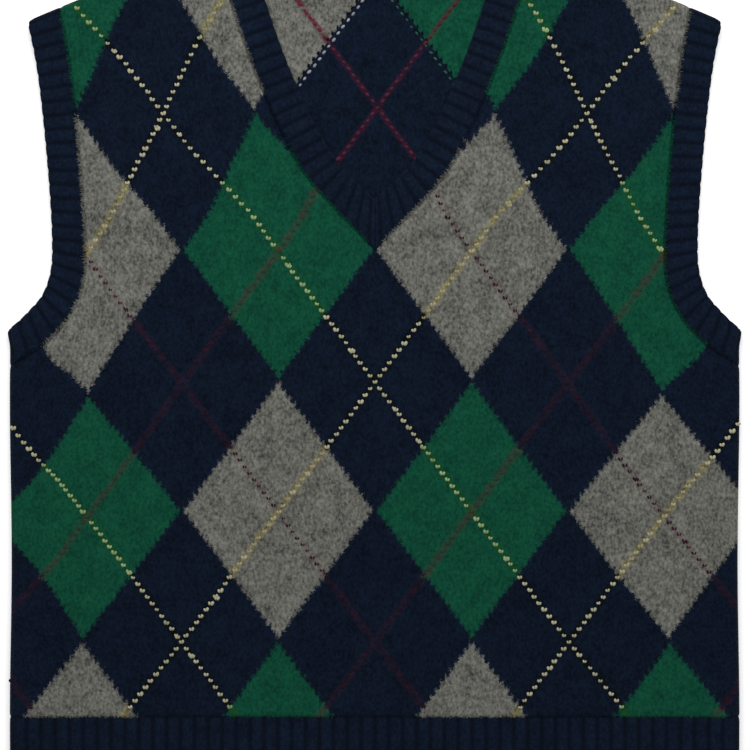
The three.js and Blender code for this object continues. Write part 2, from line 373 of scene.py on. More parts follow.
def near_lines(tree, p, q, first, half, soft):
    """From 0 to 1 beside the raker lines: those with p at the first plus 2 and every 4 on, and the mirrored
    ones with q at 2 less the first and every 4 on."""
    near_p = add(tree, "ShaderNodeMath", [p, first], operation="SUBTRACT")
    near_q = add(tree, "ShaderNodeMath", [q, first], operation="ADD")
    ways = []
    for line in (near_p, near_q):
        line = add(tree, "ShaderNodeMath", [line, 4.0], operation="FLOORED_MODULO")
        line = add(tree, "ShaderNodeMath", [line, 2.0], operation="SUBTRACT")
        ways.append(add(tree, "ShaderNodeMath", [line], operation="ABSOLUTE"))
    near = add(tree, "ShaderNodeMath", ways, operation="MINIMUM")
    fade = [near, half + soft, half - soft, 0.0, 1.0]
    return add(tree, "ShaderNodeMapRange", fade, interpolation_type="SMOOTHSTEP")


def argyle_lambswool(name, stray, yellow, crimson, red, breadth):
    """Each stitch takes the colour of its own place in the pattern, so a diamond has stepped edges; brushed
    fibres stray over them by so many wales. In diagonals p = a + b and q = a - b, where a and b count
    quarter repeats, every diamond is a square of side 2: navy where the whole halves of p and q add up to
    an odd number, grey where both are even, green where both are odd. The raker yarns tint, in patches, the
    wool they are felted into: yellow by one amount, and crimson by one for each colour of the ground, out
    to the breadth from its line."""
    material, tree = new_material(name)
    knit = add(tree, "ShaderNodeUVMap", [], uv_map="knit")
    place = add(tree, "ShaderNodeTexCoord", [], out="Object")
    locks = add(tree, "ShaderNodeTexNoise", {"Vector": knit, "Scale": 1.1, "Detail": 1.0}, out="Color")
    fibres = add(tree, "ShaderNodeTexNoise", {"Vector": knit, "Scale": 6.5, "Detail": 0.0}, out="Color")
    locks = add(tree, "ShaderNodeVectorMath", [locks, (0.5, 0.5, 0.5)], operation="SUBTRACT")
    fibres = add(tree, "ShaderNodeVectorMath", [fibres, (0.5, 0.5, 0.5)], operation="SUBTRACT")
    locks = add(tree, "ShaderNodeVectorMath", [locks, (1.1 * stray, 2.0 * stray, 0.0)], operation="MULTIPLY")
    reach = (1.1 * stray, 2.2 * stray, 0.0)
    fibres = add(tree, "ShaderNodeVectorMath", [fibres, reach], operation="MULTIPLY")
    loose = add(tree, "ShaderNodeVectorMath", [locks, fibres], operation="ADD")
    loose = add(tree, "ShaderNodeVectorMath", [knit, loose], operation="ADD")
    u = add(tree, "ShaderNodeSeparateXYZ", [loose])
    v = u.node.outputs["Y"]
    wale = add(tree, "ShaderNodeMath", [u, 0.5], operation="ADD")
    wale = add(tree, "ShaderNodeMath", [wale], operation="FLOOR")
    leg = add(tree, "ShaderNodeMath", [u, wale], operation="SUBTRACT")
    leg = add(tree, "ShaderNodeMath", [leg], operation="ABSOLUTE")
    course = add(tree, "ShaderNodeMath", [leg, -LEG_RISE, v], operation="MULTIPLY_ADD")
    course = add(tree, "ShaderNodeMath", [course, 1.0], operation="SNAP")
    stitch = add(tree, "ShaderNodeCombineXYZ", [wale, course])
    stitch = add(tree, "ShaderNodeVectorMath", [stitch, (0.0, 0.9, 0.0)], operation="ADD")
    rising = (1 / QUARTER_WALES, 1 / QUARTER_COURSES, 0.0)
    falling = (1 / QUARTER_WALES, -1 / QUARTER_COURSES, 0.0)
    p = add(tree, "ShaderNodeVectorMath", [stitch, rising], operation="DOT_PRODUCT", out="Value")
    q = add(tree, "ShaderNodeVectorMath", [stitch, falling], operation="DOT_PRODUCT", out="Value")
    half = add(tree, "ShaderNodeCombineXYZ", [p, q])
    half = add(tree, "ShaderNodeVectorMath", [half, (0.5, 0.5, 0.0)], operation="MULTIPLY")
    cell = add(tree, "ShaderNodeVectorMath", [half], operation="FLOOR")
    cell_p = add(tree, "ShaderNodeSeparateXYZ", [cell])
    offset = add(tree, "ShaderNodeVectorMath", [half, cell], operation="SUBTRACT")
    offset = add(tree, "ShaderNodeVectorMath", [offset, (0.5, 0.5, 0.0)], operation="SUBTRACT")
    offset = add(tree, "ShaderNodeVectorMath", [offset], operation="ABSOLUTE")
    offset = add(tree, "ShaderNodeSeparateXYZ", [offset])
    within = add(tree, "ShaderNodeMath", [offset, offset.node.outputs["Y"]], operation="MAXIMUM")
    within = add(tree, "ShaderNodeMath", [within, 0.487], operation="LESS_THAN")
    parity = add(tree, "ShaderNodeMath", [cell_p, cell_p.node.outputs["Y"]], operation="ADD")
    parity = add(tree, "ShaderNodeMath", [parity, 2.0], operation="FLOORED_MODULO")
    diamond = add(tree, "ShaderNodeMath", [within, parity], operation="SUBTRACT", use_clamp=True)
    odd = add(tree, "ShaderNodeMath", [cell_p, 2.0], operation="FLOORED_MODULO")
    fleck = melange(tree, place)
    navy = {0: fleck, 6: srgb("040a14"), 7: srgb("0f1a2c")}
    navy = add(tree, "ShaderNodeMix", navy, out=2, data_type="RGBA")
    grey = {0: fleck, 6: srgb("373835"), 7: srgb("7b7b74")}
    grey = add(tree, "ShaderNodeMix", grey, out=2, data_type="RGBA")
    green = {0: fleck, 6: srgb("053225"), 7: srgb("104e38")}
    green = add(tree, "ShaderNodeMix", green, out=2, data_type="RGBA")
    colour = add(tree, "ShaderNodeMix", {0: odd, 6: grey, 7: green}, out=2, data_type="RGBA")
    colour = add(tree, "ShaderNodeMix", {0: diamond, 6: navy, 7: colour}, out=2, data_type="RGBA")
    p = add(tree, "ShaderNodeVectorMath", [loose, rising], operation="DOT_PRODUCT", out="Value")
    q = add(tree, "ShaderNodeVectorMath", [loose, falling], operation="DOT_PRODUCT", out="Value")
    felted = {0: odd, 2: crimson["grey"], 3: crimson["green"]}
    felted = add(tree, "ShaderNodeMix", felted, out=0, data_type="FLOAT")
    felted = {0: diamond, 2: crimson["navy"], 3: felted}
    felted = add(tree, "ShaderNodeMix", felted, out=0, data_type="FLOAT")
    patches = {"Vector": knit, "Scale": 0.4, "Detail": 3.0, "Roughness": 0.75}
    patches = add(tree, "ShaderNodeTexNoise", patches)
    patches = add(tree, "ShaderNodeMapRange", [patches, 0.32, 0.66, 0.1, 1.7])
    beside = near_lines(tree, p, q, -1.0, breadth, 0.02)
    beside = add(tree, "ShaderNodeMath", [beside, patches], operation="MULTIPLY")
    felted = add(tree, "ShaderNodeMath", [felted, beside], operation="MULTIPLY", use_clamp=True)
    colour = add(tree, "ShaderNodeMix", {0: felted, 6: colour, 7: srgb(red)}, out=2, data_type="RGBA")
    if yellow:
        beside = near_lines(tree, p, q, 1.0, 0.042, 0.02)
        beside = add(tree, "ShaderNodeMath", [beside, patches], operation="MULTIPLY")
        beside = add(tree, "ShaderNodeMath", [beside, yellow], operation="MULTIPLY", use_clamp=True)
        tint = {0: odd, 6: (1.4, 1.2, 0.6, 1.0), 7: (1.7, 1.0, 0.45, 1.0)}
        tint = add(tree, "ShaderNodeMix", tint, out=2, data_type="RGBA")
        tint = {0: diamond, 6: (0.7, 0.5, 0.25, 1.0), 7: tint}
        tint = add(tree, "ShaderNodeMix", tint, out=2, data_type="RGBA")
        tint = {0: beside, 6: colour, 7: tint}
        colour = add(tree, "ShaderNodeMix", tint, out=2, data_type="RGBA", blend_type="MULTIPLY")
    height = add(tree, "ShaderNodeMath", [stitch_height(tree, u, v), 0.5, fleck], operation="MULTIPLY_ADD")
    wool_finish(tree, colour, height, 0.2 * MM)
    return material


argyle = argyle_lambswool(
    "brushed argyle lambswool", 1.0, 0.8, {"navy": 0.1, "grey": 0.15, "green": 0.27}, "4b1b2a", 0.045
)
argyle_inside = argyle_lambswool(
    "inside of the argyle", 0.3, 0.0, {"navy": 0.32, "grey": 0.6, "green": 0.36}, "4a1226", 0.036
)
BACK_MOVE = (1.7 * MM, 10.5 * MM)  # the pattern of the back sits a little to the right, and higher
panel(
    "back_panel", back_layer, back_neck_seam, 0.75, lambda plan: to_knit(plan - BACK_MOVE),
    [argyle, argyle_inside]
)

# ----------------------------------------------------------------------------------------------------------
# Front panel. The same knitting with a deep V. It lies on the back, loops up softly at the folds, and has
# been pressed, so only a few low ridges are left in it. The V has opened a little, which spreads the
# pattern beside it.

LAYER_GAP = 0.4 * MM
SETTLE = 36 * MM  # the front comes down from the fold over this distance
V_NECK = np.array(
    [
        (0.0, 422.0, 0.0, 386.0),
        (26.6, 448.7, 45.6, 434.0),
        (44.1, 478.8, 65.3, 467.6),
        (55.3, 503.3, 77.4, 493.9),
        (66.5, 531.3, 89.0, 523.0),
        (76.7, 561.4, 99.5, 554.0),
        (89.0, (fold_y(89 * MM) - HEM_Y) / MM, 113.0, (fold_y(113 * MM) - HEM_Y) / MM),
    ],
    dtype=BAND_LINES,
)
v_seam, v_edge = spline(V_NECK, "seam"), spline(V_NECK, "edge")

# Ridges left in the cloth: middle and direction, then half length, half width and height
RIDGES = np.array(
    [
        (-196, 292, 24, 60, 15, 0.9),
        (202, 286, 160, 54, 13, 0.8),
        (-60, 372, 40, 60, 18, 0.5),
        (74, 368, 138, 52, 16, 0.5),
        (-120, 150, 8, 90, 22, 0.5),
        (96, 118, 172, 80, 20, 0.5),
        (10, 236, 95, 70, 24, 0.4),
        (-166, 470, 78, 52, 15, 0.6),
        (158, 486, 104, 58, 16, 0.6),
        (-214, 130, 88, 60, 13, 0.6),
        (222, 180, 94, 66, 14, 0.6),
    ],
    dtype=[(name, float) for name in ("x", "up", "degrees", "reach", "spread", "height")],
)


def ridges(plan):
    """Sum over the ridges of height exp(-(along / reach)^2 - (across / spread)^2)."""
    total = np.zeros(plan.shape[:-1])
    for ridge in RIDGES:
        x, y = plan[..., 0] / MM - ridge["x"], (plan[..., 1] - HEM_Y) / MM - ridge["up"]
        turn = np.radians(ridge["degrees"])
        along = x * np.cos(turn) + y * np.sin(turn)
        across = y * np.cos(turn) - x * np.sin(turn)
        bell = np.exp(-((along / ridge["reach"]) ** 2) - (across / ridge["spread"]) ** 2)
        total += ridge["height"] * bell
    return total * MM


def front_layer(plan):
    """Points and normals of the outer face of the front: round at a fold, then down to rest along a smooth
    step 3 s^2 - 2 s^3, and raised by the ridges away from the folds."""
    distance, way = to_fold(plan)
    sin, normal = quarter_round(distance, way, 1)
    s = np.clip((distance - FOLD_RADIUS) / SETTLE, 0, 1)
    drop = FOLD_HEIGHT - (2 * CLOTH + LAYER_GAP)
    lean = drop * 6 * s * (1 - s) / SETTLE
    height = FOLD_HEIGHT - FOLD_RADIUS * (1 - sin) - drop * s**2 * (3 - 2 * s) + ridges(plan) * s
    normal[..., :2] -= way * lean[..., None]
    return np.concatenate([plan, height[..., None]], axis=-1), unit(normal)


# Where the knitting has slipped: middle, radii, then the way across and up; all mm
SLIPS = np.array(
    [
        (-230, 312, 20, 32, 0.0, -14.0),
        (230, 312, 20, 32, 0.0, -13.0),
        (-205, 290, 48, 85, 2.0, -8.0),
        (205, 290, 48, 85, -2.0, -8.0),
        (-252, 245, 38, 50, 4.5, -12.0),
        (252, 245, 28, 50, 0.0, -4.0),
        (-228, 175, 22, 55, 3.8, 0.0),
        (-122, 575, 45, 45, 3.0, 9.0),
        (122, 575, 45, 45, -3.0, 9.0),
    ],
    dtype=[(name, float) for name in ("x", "up", "reach", "rise", "across", "along")],
)


def shift(plan):
    """How far the knitting has moved from an even lattice. It spreads beside the V by so much of 25 mm as 1
    - exp(-(rise / 75 mm)^1.5), less at the armholes, and at the hem it has widened by 3.5 mm on one side
    and by 5.5 mm on the other. Above a row of coloured diamonds it is drawn out by 6.5 in 100. Each slip
    adds a bell."""
    side, across, y = np.sign(plan[..., 0]), np.abs(plan[..., 0]), plan[..., 1]
    rise = np.maximum(y - HEM_Y - 405 * MM, 0) / (75 * MM)
    out = np.clip((across - 110 * MM) / (100 * MM), 0, 1)
    outer = out**2 * (3 - 2 * out)
    held = 0.6 * outer * np.exp(-(((y - HEM_Y - 480 * MM) / (50 * MM)) ** 2))
    spread = 25 * MM * (1 - np.exp(-(rise**1.5))) * (1 - held)
    wide = (4.5 + side) * MM * outer * np.exp(-(((y - RIB_Y) / (70 * MM)) ** 2))
    above = y - LATTICE_Y
    drawn = 0.0325 * (above + np.sqrt(above**2 + (20 * MM) ** 2))
    moved = np.stack([side * (spread + wide), drawn], axis=-1)
    for slip in SLIPS:
        x, up = plan[..., 0] / MM - slip["x"], (y - HEM_Y) / MM - slip["up"]
        bell = np.exp(-((x / slip["reach"]) ** 2) - (up / slip["rise"]) ** 2)
        moved += bell[..., None] * (slip["across"] * MM, slip["along"] * MM)
    return moved


def front_knit(plan):
    return to_knit(plan - shift(plan))


panel("front_panel", front_layer, v_seam, 0.5, front_knit, [argyle, argyle_inside])

# ----------------------------------------------------------------------------------------------------------
# Raker lines. Thin yellow and crimson lines that cross the diamonds, darned over finished stitches: one
# V-shaped stitch a wale, two courses apart.

BARE_X, BARE_Y = 222 * MM, HEM_Y + 280 * MM  # beyond both, under the arms, no raker stitch is darned


def on_panel(plan, neck_seam, margin=3 * MM):
    """True for plan points that lie on a panel, clear of the underarms, and by a margin of its seams and
    folds."""
    across, y = np.abs(plan[:, 0]), plan[:, 1]
    arm, neck = sampled(armhole_seam), sampled(neck_seam)
    side = np.where(y < SEAM_Y, HALF_CHEST, np.interp(y, arm[:, 1], arm[:, 0]))
    neck_x = np.interp(y, neck[:, 1], neck[:, 0], left=-1)
    below = (y > RIB_Y + margin) & (y < fold_y(across) - margin)
    underarm = (across > BARE_X) & (y > BARE_Y)
    beside_neck = (y < neck[0, 1] - margin) | (across > neck_x + margin)
    return below & ~underarm & (across < side - margin / 2) & beside_neck


def bead_along(start, end, radii, stations=6, sides=6):
    """A rounded bead from start to end: at each station s the radius is that of the taper times the root of
    the sine of pi s, and the sides go round in even angles. Returns points and faces."""
    s = np.linspace(0.04, 0.96, stations)[:, None]
    turn = np.linspace(0, 2 * np.pi, sides, endpoint=False)[None, :]
    axis = unit(np.subtract(end, start))
    flat = unit(np.cross(axis, (0, 0, 1)))
    up = np.cross(flat, axis)
    radius = (radii[0] + (radii[1] - radii[0]) * s) * np.sqrt(np.sin(np.pi * s))
    middle = np.array(start) + np.subtract(end, start) * s[..., None]
    spoke = np.cos(turn)[..., None] * flat + np.sin(turn)[..., None] * up
    points = middle + radius[..., None] * spoke
    ring = np.arange(sides)
    band = np.stack([ring, np.roll(ring, -1), np.roll(ring, -1) + sides, ring + sides], axis=-1)
    faces = []
    for k in range(stations - 1):
        faces += (band + k * sides).tolist()
    faces += [ring.tolist(), (ring + (stations - 1) * sides).tolist()]
    return points.reshape(-1, 3), faces


random = np.random.default_rng(20)


def strewn(name, layer, places, beads, material, uv, heading=0.0, wobble=0.1, vary=0.12):
    """Copies of a few beads at plan places, one UV pair each, turned to the heading give or take the
    wobble, and a little moved and scaled. They are laid on the layer: a bead's x and y move each point over
    the plan, and its z lifts it along the normal. Where they meet the floor they are pressed flat."""
    count = len(places)
    shape = np.concatenate([points for points, _ in beads])
    starts = np.cumsum([0] + [len(points) for points, _ in beads])
    faces = [[start + corner for corner in face] for start, (_, part) in zip(starts, beads) for face in part]
    turn = (heading + random.normal(0, wobble, count))[:, None]
    scale = random.normal(1, vary, (count, 1)).clip(1 - 2 * vary, 1 + 2 * vary)
    x = scale * (shape[:, 0] * np.cos(turn) - shape[:, 1] * np.sin(turn))
    y = scale * (shape[:, 0] * np.sin(turn) + shape[:, 1] * np.cos(turn))
    middle = places + random.normal(0, 0.16 * MM, places.shape)
    outer, normal = layer(middle[:, None] + np.stack([x, y], axis=-1))
    points = (outer + normal * (scale * shape[:, 2])[..., None]).reshape(-1, 3)
    points[:, 2] = np.maximum(points[:, 2], -0.15 * MM)
    copies = [[corner + k * len(shape) for corner in face] for k in range(count) for face in faces]
    piece = add_piece(name, points, copies, np.repeat(uv, len(shape), axis=0), [material])


def diagonals(knit):
    """The two diagonals of places in the knitting: with a and b quarter repeats, a + b and a - b."""
    a, b = (knit / (QUARTER_WALES, QUARTER_COURSES)).T
    return a + b, a - b


def raker_places(colour, slope):
    """Wales and courses of the stitches of the lines of one colour, slope 1 for those that rise to the
    right. Every other diagonal 2 k + 1 is yellow. Where two yellow or two crimson lines meet in navy the
    stitch is shared, and counts as rising; on a green diamond the crimson line runs over the yellow one,
    and on a grey one under it."""
    k = np.arange(-10, 11)
    k = k[k % 2 == (colour == "yellow") * (slope < 0) + (colour == "crimson") * (slope > 0)]
    u, line = np.meshgrid(np.arange(-80, 81), 2 * k + 1)
    v = slope * (2 * u - QUARTER_COURSES * line)
    knit = np.stack([u, v], axis=-1).reshape(-1, 2)
    middle = (knit % (QUARTER_WALES, QUARTER_COURSES) == 0).all(axis=-1)
    in_row, other = diagonals(knit)
    p, q = in_row // 2 % 2, other // 2 % 2
    crossing = middle & (in_row % 2 == 1)
    shared = crossing & (p != q) & (slope < 0)
    under = crossing & (p == q) & (p == (colour == "yellow"))
    return knit[~shared & ~under]


def from_knit(knit):
    return knit * (WALE, COURSE) + (0, LATTICE_Y)


def ground(knit):
    """0 where the place in the knitting is navy, 1 where it is grey and 2 where it is green."""
    p, q = (diagonal // 2 for diagonal in diagonals(knit))
    return np.where((p + q) % 2 == 0, 1 + p % 2, 0).astype(int)


def toned(knit, tones):
    """A UV pair for each stitch: the tone for its ground, give or take a little, and 1 where that is
    green."""
    tone = np.array(tones)[ground(knit)] + random.normal(0, 0.12, len(knit))
    return np.stack([tone.clip(0, 1), ground(knit) == 2], axis=-1)


def shifted(plan):
    """The plan places of front stitches once the knitting has moved, found by repeating the shift."""
    moved = plan
    for _ in range(6):
        moved = plan + shift(moved)
    return moved


def yarn(name, dark, light, matted=0.0):
    """Smooth worsted yarn, paler on some stitches than on others. On green it picks up some green lint, and
    a share of it is matted over by the green wool."""
    material, tree = new_material(name)
    tone = add(tree, "ShaderNodeSeparateXYZ", [add(tree, "ShaderNodeUVMap", [], uv_map="knit")])
    place = add(tree, "ShaderNodeTexCoord", [], out="Object")
    fibre = add(tree, "ShaderNodeTexNoise", {"Vector": place, "Scale": 900.0, "Detail": 2.0})
    mixed = add(tree, "ShaderNodeMath", [fibre, 0.4, tone], operation="MULTIPLY_ADD")
    mixed = add(tree, "ShaderNodeMath", [mixed, 0.2], operation="SUBTRACT", use_clamp=True)
    colour = add(tree, "ShaderNodeMix", {0: mixed, 6: srgb(dark), 7: srgb(light)}, out=2, data_type="RGBA")
    lint = {0: tone.node.outputs["Y"], 6: colour, 7: (0.75, 1.02, 0.78, 1.0)}
    colour = add(tree, "ShaderNodeMix", lint, out=2, data_type="RGBA", blend_type="MULTIPLY")
    cover = add(tree, "ShaderNodeMath", [tone.node.outputs["Y"], matted], operation="MULTIPLY")
    colour = add(tree, "ShaderNodeMix", {0: cover, 6: colour, 7: srgb("12402e")}, out=2, data_type="RGBA")
    wool_finish(tree, colour, fibre, 0.15 * MM)
    return material


def v_stitch(half_width, bottom, top, radii, sink, lean):
    """Two beads that meet at the bottom of a V, from sizes in mm. The one on the side of the lean lies
    along the line, and the other is 0.35 mm shorter and thinner by 15 in 100."""
    beads = []
    for side in (-1, 1):
        off = side != lean
        start = np.array([side * 0.25 * half_width, bottom, sink]) * MM
        end = np.array([side * half_width, top - off * 0.35, sink]) * MM
        beads.append(bead_along(start, end, np.array(radii) * MM * (1 - 0.15 * off)))
    return beads


# Each yarn, its tone on navy, grey and green, and the shape of its stitch
RAKERS = {
    "yellow": (
        yarn("pale yellow worsted", "716f52", "aeab8f"), (0.75, 0.45, 0.55),
        {"half_width": 1.35, "bottom": -1.9, "top": 1.35, "radii": (1.1, 1.5), "sink": -0.55},
    ),
    "crimson": (
        yarn("crimson worsted", "1a0f1c", "5a2131", matted=0.65), (0.02, 0.2, 0.28),
        {"half_width": 1.35, "bottom": -1.7, "top": 1.2, "radii": (0.9, 1.1), "sink": -0.42},
    ),
}
for place, layer, neck_seam, move in [
    ("front", front_layer, v_seam, shifted),
    ("back", back_layer, back_neck_seam, lambda plan: plan + BACK_MOVE),
]:
    for colour, (material, tones, shape) in RAKERS.items():
        for slope, way in [(1, "rising"), (-1, "falling")]:
            knit = raker_places(colour, slope)
            at = move(from_knit(knit))
            knit, at = knit[on_panel(at, neck_seam)], at[on_panel(at, neck_seam)]
            caught = random.random(len(at)) < 0.05  # a few stitches have pulled a loop of yarn up beside them
            at = np.concatenate([at, at[caught] + (0.9 * MM, -1.0 * MM)])
            uv = toned(np.concatenate([knit, knit[caught]]), tones)
            strewn(f"{colour}_rakers_{way}_{place}", layer, at, v_stitch(**shape, lean=slope), material, uv)

# ----------------------------------------------------------------------------------------------------------
# Inside of the back, as it shows through the V. Here the crimson yarn passes behind the stitches in dashes,
# and along each diamond the two ground yarns are linked round one another, so each one peeps out on the
# other's side.


def back_inside(plan):
    """Points and normals of the inner face of the back."""
    outer, normal = back_layer(plan)
    return outer - normal * CLOTH, -normal


def dash(slope, reach, radius):
    end = np.array([0.7 * reach, 0.75 * slope * reach, 0])
    return [bead_along(-end, end, (radius, radius))]


def edge_places(slope, colour):
    """Wales and courses along the edges of the diamonds of one colour, slope 1 for those that rise to the
    right, and for each the side, 1 or -1, on which the navy lies."""
    u, line = np.meshgrid(np.arange(-60, 61) + 0.5, 2 * np.arange(-8, 9))
    u, line = u.ravel(), line.ravel()
    v = slope * (2 * u - QUARTER_COURSES * line)
    other = (u / QUARTER_WALES + slope * v / QUARTER_COURSES) // 2
    coloured_right = (line / 2 + other) % 2 == 0
    whole_p = other if slope > 0 else np.where(coloured_right, line / 2, line / 2 - 1)
    of_colour = whole_p % 2 == (colour == "green")
    return np.stack([u, v], axis=-1)[of_colour], np.where(coloured_right, -1, 1)[of_colour]


def through_v(plan):
    """True for plan points of the back that the V leaves open, and for those close round it."""
    near = (np.abs(plan[:, 0]) < 118 * MM) & (plan[:, 1] > HEM_Y + 395 * MM)
    return on_panel(plan, back_neck_seam) & near


crimson_float = yarn("crimson floats", "3e2333", "741a32")
pale_float = yarn("pale grey floats", "5f6468", "a0a5a9")
teal_float = yarn("green floats", "16302e", "3a5c5c")
black_float = yarn("navy floats", "02030a", "060a14")
for slope, way in [(1, "rising"), (-1, "falling")]:
    knit = raker_places("crimson", slope)
    at = from_knit(knit) + BACK_MOVE
    knit, at = knit[through_v(at)], at[through_v(at)]
    beads, uv = dash(slope, 1.8 * MM, 1.15 * MM), toned(knit, (0.1, 0.7, 0.35))
    strewn(f"crimson_floats_{way}", back_inside, at, beads, crimson_float, uv)
    for ground_name, colour, material, side_of, reach, radius in [
        ("grey", "pale", pale_float, 0.42, 1.55 * MM, 0.95 * MM),
        ("grey", "black", black_float, -0.75, 1.4 * MM, 0.7 * MM),
        ("green", "teal", teal_float, 0.42, 1.4 * MM, 0.8 * MM),
        ("green", "black", black_float, -0.75, 1.3 * MM, 0.6 * MM),
    ]:
        knit, navy_side = edge_places(slope, ground_name)
        at = from_knit(knit) + BACK_MOVE + np.stack([navy_side * side_of * WALE, 0 * navy_side], axis=-1)
        knit, at = knit[through_v(at)], at[through_v(at)]
        name, uv = f"{colour}_floats_{ground_name}_{way}", toned(knit, (0.6, 0.6, 0.6))
        strewn(name, back_inside, at, dash(slope, reach, radius), material, uv)

# ----------------------------------------------------------------------------------------------------------
# Nap at the seams. The brushed panel sheds fine fibres over the first millimetres of each band.


def nap(name, seam, way, length):
    """Fibres of a length, rooted just inside a seam of the front, one every 0.16 mm, that point across the
    band."""
    run = np.concatenate([[0], np.cumsum(np.linalg.norm(np.diff(seam, axis=0), axis=-1))])
    at = np.sort(random.random(int(run[-1] / (0.16 * MM)))) * run[-1]
    root = np.stack([np.interp(at, run, seam[:, k]) for k in (0, 1)], axis=-1)
    ahead = unit(np.stack([np.interp(at, run, way[:, k]) for k in (0, 1)], axis=-1))
    root -= ahead * (random.random((len(at), 1)) * 0.9 * MM)
    heading = np.arctan2(-ahead[:, 0], ahead[:, 1])
    start, end = (0, 0, -0.3 * MM), (0, length, 0.25 * MM)
    fibre = [bead_along(start, end, (0.16 * MM, 0.1 * MM), stations=3, sides=3)]
    uv = front_knit(root - ahead * MM)
    strewn(name, front_layer, root, fibre, argyle, uv, heading, wobble=0.55, vary=0.35)


for side, sign in [("left", 1), ("right", -1)]:
    for seam_name, seam, edge in [("armhole", armhole_seam, armhole_edge), ("neck", v_seam, v_edge)]:
        line, outer_line = sampled(seam) * (sign, 1), sampled(edge) * (sign, 1)
        clear = slice(12, -8)
        nap(f"nap_{seam_name}_{side}", line[clear], (outer_line - line)[clear], 2.1 * MM)
hem_reach = 250 * MM
hem_line = np.linspace((-hem_reach, RIB_Y), (hem_reach, RIB_Y), 50)
nap("nap_hem", hem_line, np.full_like(hem_line, (0, -1)), 0.9 * MM)

# ----------------------------------------------------------------------------------------------------------
# Ribbed hem, front and back. Two knit wales and two purl wales by turns, so the cloth is drawn up into
# round ribs with narrow valleys between, on both faces. It is knitted first, and its edge is the cast-on.

RIB_PITCH = 9.8 * MM
BAND_SPACING = 0.8 * MM


def valley(phase):
    """Depth of the rib relief, from 0 on a rib to 1 in a valley, for phase in ribs: a bell at the half, and
    a faint one between the two wales of a rib."""
    offset = (phase + 0.5) % 1 - 0.5
    between = np.abs(phase % 1 - 0.5)
    return np.exp(-((between / 0.19) ** 2)) + 0.12 * np.exp(-((offset / 0.09) ** 2))


def ribbed_band(name, seam, edge, layer, material):
    """A band along a seam, as a closed loop of points at each section: the outer face from the seam to the
    edge, round the edge, and the inner face back. Section by section it is carried along the seam, and its
    faces drop in the valleys of the rib."""
    section = edge - seam
    width = np.linalg.norm(section, axis=-1)[:, None] - SEAM_GAP
    way = unit(section)
    seam = seam + way * SEAM_GAP
    middle, _ = layer(seam + way * width / 2)
    run = np.concatenate([[0], np.cumsum(np.linalg.norm(np.diff(middle, axis=0), axis=-1))])
    phase = (run / run[-1] * round(run[-1] / RIB_PITCH))[:, None]
    outer_cut, inner_cut = 0.9 * MM * valley(phase), 0.7 * MM * valley(phase + 0.5)
    half = CLOTH / 2
    flat = steps(24 * MM, 3 * MM, end=np.array([0, 1.0]) * MM)[None, :]
    turn = np.linspace(np.pi / 2, -np.pi / 2, 9)[None, 1:-1]
    dip = seam_dip(flat * width)
    grow = 1 - np.exp(-((flat * width / (1.5 * MM)) ** 2))
    out = flat * (width - half)
    nose = width - half + (half - 0.5 * outer_cut) * np.cos(turn)
    q = np.concatenate([out, nose, out[:, ::-1]], axis=1)
    nose_height = -half + half * np.sin(turn)
    nose_height = nose_height - outer_cut * np.maximum(np.sin(turn), 0)
    nose_height = nose_height + inner_cut * np.maximum(-np.sin(turn), 0)
    outer_height, inner_height = -outer_cut * grow - dip, -CLOTH + inner_cut * grow
    height = np.concatenate([outer_height, nose_height, inner_height[:, ::-1]], axis=1)
    outer, normal = layer(seam[:, None] + way[:, None] * q[..., None])
    points = outer + normal * height[..., None]
    rows, columns = q.shape
    corner = np.arange(rows * columns).reshape(rows, columns)
    after = np.roll(corner, -1, axis=1)
    faces = np.stack([corner[:-1], after[:-1], after[1:], corner[1:]], axis=-1).reshape(-1, 4).tolist()
    faces += [corner[0].tolist(), corner[-1].tolist()]
    around = np.cumsum(np.abs(np.diff(q, axis=1, prepend=q[:, :1])), axis=1)
    uv = np.stack([np.broadcast_to(phase * 4, q.shape), around / COURSE], axis=-1)
    piece = add_piece(f"{name}_cloth", points.reshape(-1, 3), faces, uv.reshape(-1, 2), [material])
    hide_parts(name)


def navy_rib_wool():
    """Navy lambswool in rib, with painted shade: its colour darkens towards the valleys between the ribs."""
    material, tree = new_material("brushed navy rib")
    u = add(tree, "ShaderNodeSeparateXYZ", [add(tree, "ShaderNodeUVMap", [], uv_map="knit")])
    place = add(tree, "ShaderNodeTexCoord", [], out="Object")
    fleck = melange(tree, place)
    navy = {0: fleck, 6: srgb("070d1a"), 7: srgb("101c2d")}
    navy = add(tree, "ShaderNodeMix", navy, out=2, data_type="RGBA")
    inward = add(tree, "ShaderNodeMath", [u, 2.0], operation="ADD")
    inward = add(tree, "ShaderNodeMath", [inward, 2.0], operation="PINGPONG")
    # painted shade: the navy turns near-black towards each valley between the ribs and keeps its colour on
    # the ribs
    shade = add(tree, "ShaderNodeMapRange", [inward, 0.0, 1.1, 0.45, 1.0], interpolation_type="SMOOTHSTEP")
    dark = add(tree, "ShaderNodeMix", {0: shade, 6: srgb("02050d"), 7: navy}, out=2, data_type="RGBA")
    stitches = stitch_height(tree, u, u.node.outputs["Y"])
    height = add(tree, "ShaderNodeMath", [stitches, 0.6, fleck], operation="MULTIPLY_ADD")
    wool_finish(tree, dark, height, 0.25 * MM)
    return material


def level(y):
    """Plan points straight across the vest, from side fold to side fold, close together at the folds."""
    share = steps(2 * HALF_CHEST, BAND_SPACING, start=FOLD_STEPS, end=FOLD_STEPS)
    return np.stack([HALF_CHEST * (2 * share - 1), np.full_like(share, y)], axis=-1)


navy_rib = navy_rib_wool()
for place, layer, below in [("front", front_layer, "hem_rib_back"), ("back", back_layer, "floor")]:
    ribbed_band(f"hem_rib_{place}", level(RIB_Y), level(HEM_Y), layer, navy_rib)

